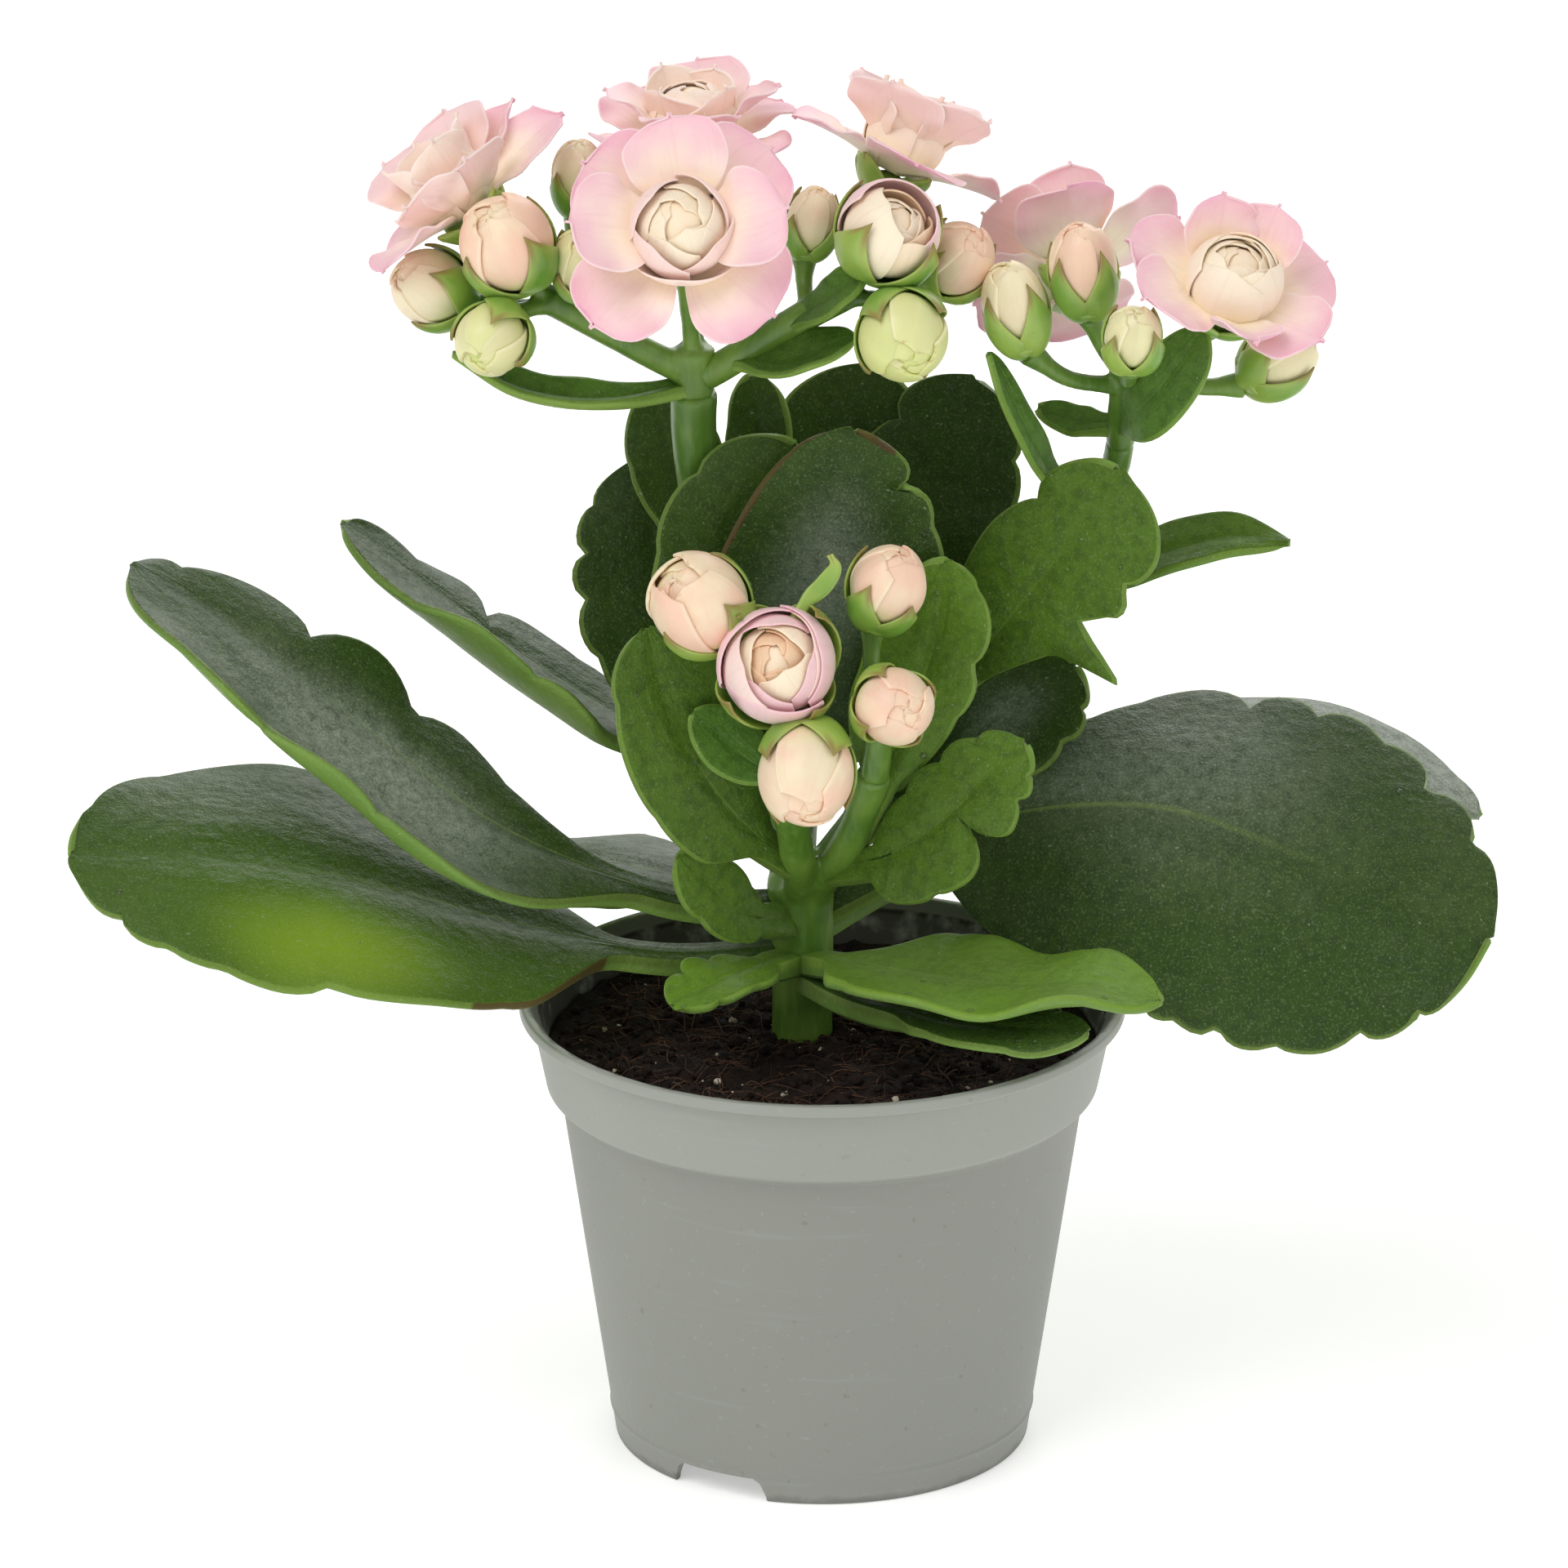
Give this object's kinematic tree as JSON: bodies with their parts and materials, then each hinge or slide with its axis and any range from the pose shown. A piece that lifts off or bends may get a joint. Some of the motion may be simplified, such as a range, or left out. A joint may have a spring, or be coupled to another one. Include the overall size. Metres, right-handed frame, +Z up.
{
  "type": "potted kalanchoe",
  "caption": "Small flowering succulent with thick scalloped leaves and clusters of double blooms and buds in a round plastic nursery pot.",
  "frame": {"origin": "middle of the flat disc under the pot, on the surface the pot stands on", "axes": "+Z up, -Y towards the side with the low front flower cluster, X to the right seen from there"},
  "size_m": [0.1398, 0.0785, 0.1389],
  "materials": {
    "pot": "matte grey moulded plastic with fine specks",
    "soil": "dark moist potting soil with fibres",
    "stem": "smooth waxy green stem, calyx and bract",
    "leaf": "thick waxy dark green leaf with a lighter edge",
    "leaf_bright": "thick waxy bright green leaf",
    "petal": "soft satin petal, cream at its foot and pink at its tip",
    "bud": "satin cream bud with a peach flush"
  },
  "bodies": {
    "root": {"pot": "pot", "stem": "stem", "soil": "soil", "spray_left": "stem", "spray_middle": "stem", "spray_right": "stem", "spray_front": "stem", "spray_front_right": "stem", "bud_left_1": "bud", "bud_left_2": "bud", "bud_left_3": "bud", "bud_left_4": "bud", "bud_left_5": "bud", "bud_middle_1": "bud", "bud_middle_2": "bud", "bud_middle_3": "bud", "bud_right_1": "bud", "bud_right_2": "bud", "bud_right_3": "bud", "bud_right_4": "bud", "bud_front_1": "bud", "bud_front_2": "bud", "bud_front_3": "bud", "bud_front_4": "bud", "flower_left": "petal", "flower_front": "petal", "flower_back": "petal", "flower_middle": "petal", "flower_half_open": "petal", "flower_right": "petal", "flower_right_back": "petal", "flower_rose": "petal", "leaf_lower_left": "leaf_bright", "leaf_upper_left": "leaf", "leaf_big_right": "leaf", "leaf_mid_left": "leaf", "leaf_far_right": "leaf", "leaf_front_right": "leaf_bright", "leaf_front_left": "leaf_bright", "leaf_front_low": "leaf", "leaf_dark_right": "leaf", "leaf_back_left": "leaf", "leaf_stem_left": "leaf", "leaf_stem_right": "leaf", "leaf_centre_back": "leaf", "leaf_right_back": "leaf", "leaf_right_low": "leaf", "leaf_centre_left": "leaf", "leaf_front_centre": "leaf", "leaf_upright_right": "leaf_bright", "leaf_narrow_right": "leaf_bright", "leaf_shoot_left": "leaf_bright", "leaf_shoot_small": "leaf_bright", "leaf_shoot_tall": "leaf_bright", "leaf_shoot_right": "leaf_bright", "leaf_behind_left": "leaf", "leaf_behind": "leaf", "leaf_behind_right": "leaf"}
  },
  "joints": []
}
